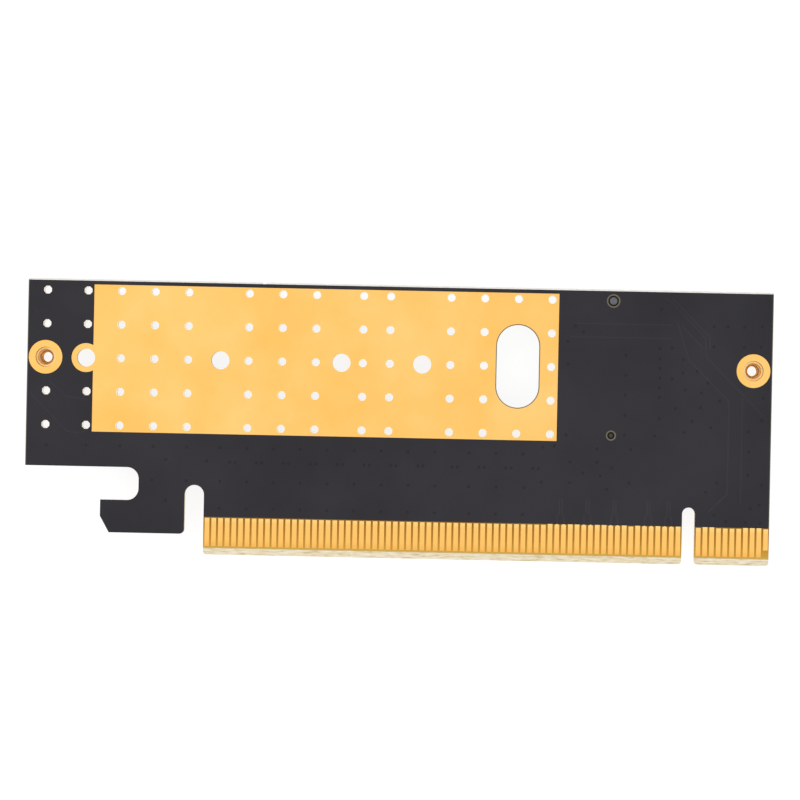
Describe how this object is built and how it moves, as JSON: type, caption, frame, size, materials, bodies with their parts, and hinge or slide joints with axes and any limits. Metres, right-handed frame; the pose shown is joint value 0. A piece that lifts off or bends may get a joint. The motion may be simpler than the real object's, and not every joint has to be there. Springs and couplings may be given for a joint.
{
  "type": "nvme adapter card",
  "caption": "Low circuit board with a sixteen-lane card edge, a gilt heat pad with cooling holes, an M.2 drive socket beneath and a threaded nut at each end.",
  "frame": {"origin": "on the surface it rests on, under the middle of the card's length and height", "axes": "+X along the card towards its bracket end, +Y from the contact edge to the top edge, +Z out of the solder side"},
  "size_m": [0.1108, 0.0406, 0.0058],
  "materials": {
    "laminate": "matte",
    "solder_mask": "satin",
    "gold_plating": "satin",
    "nut_metal": "machined",
    "socket_plastic": "matte",
    "pin_metal": "plated",
    "solder": "tinned",
    "capacitor_ceramic": "fired ceramic",
    "resistor_ceramic": "glazed",
    "lamp_base": "matte",
    "lamp_lens": "clear resin"
  },
  "bodies": {
    "root": {"board_laminate": "laminate", "back_solder_mask": "solder_mask", "back_heat_pad": "gold_plating", "back_edge_contacts": "gold_plating", "front_edge_contacts": "gold_plating", "front_screw_pads": "gold_plating", "left_nut_plating": "gold_plating", "right_nut_plating": "gold_plating", "left_nut": "nut_metal", "right_nut": "nut_metal", "socket_housing": "socket_plastic", "socket_outer_pins": "pin_metal", "socket_inner_pins": "pin_metal", "socket_upper_tab": "solder", "socket_lower_tab": "solder", "supply_capacitor_1_body": "capacitor_ceramic", "supply_capacitor_1_ends": "solder", "filter_capacitor_1_body": "capacitor_ceramic", "filter_capacitor_1_ends": "solder", "resistor_1_body": "resistor_ceramic", "resistor_1_ends": "solder", "supply_capacitor_2_body": "capacitor_ceramic", "supply_capacitor_2_ends": "solder", "filter_capacitor_2_body": "capacitor_ceramic", "filter_capacitor_2_ends": "solder", "resistor_2_body": "resistor_ceramic", "resistor_2_ends": "solder", "supply_capacitor_3_body": "capacitor_ceramic", "supply_capacitor_3_ends": "solder", "filter_capacitor_3_body": "capacitor_ceramic", "filter_capacitor_3_ends": "solder", "resistor_3_body": "resistor_ceramic", "resistor_3_ends": "solder", "status_lamp_base": "lamp_base", "status_lamp_lens": "lamp_lens", "status_lamp_ends": "solder"}
  },
  "joints": []
}
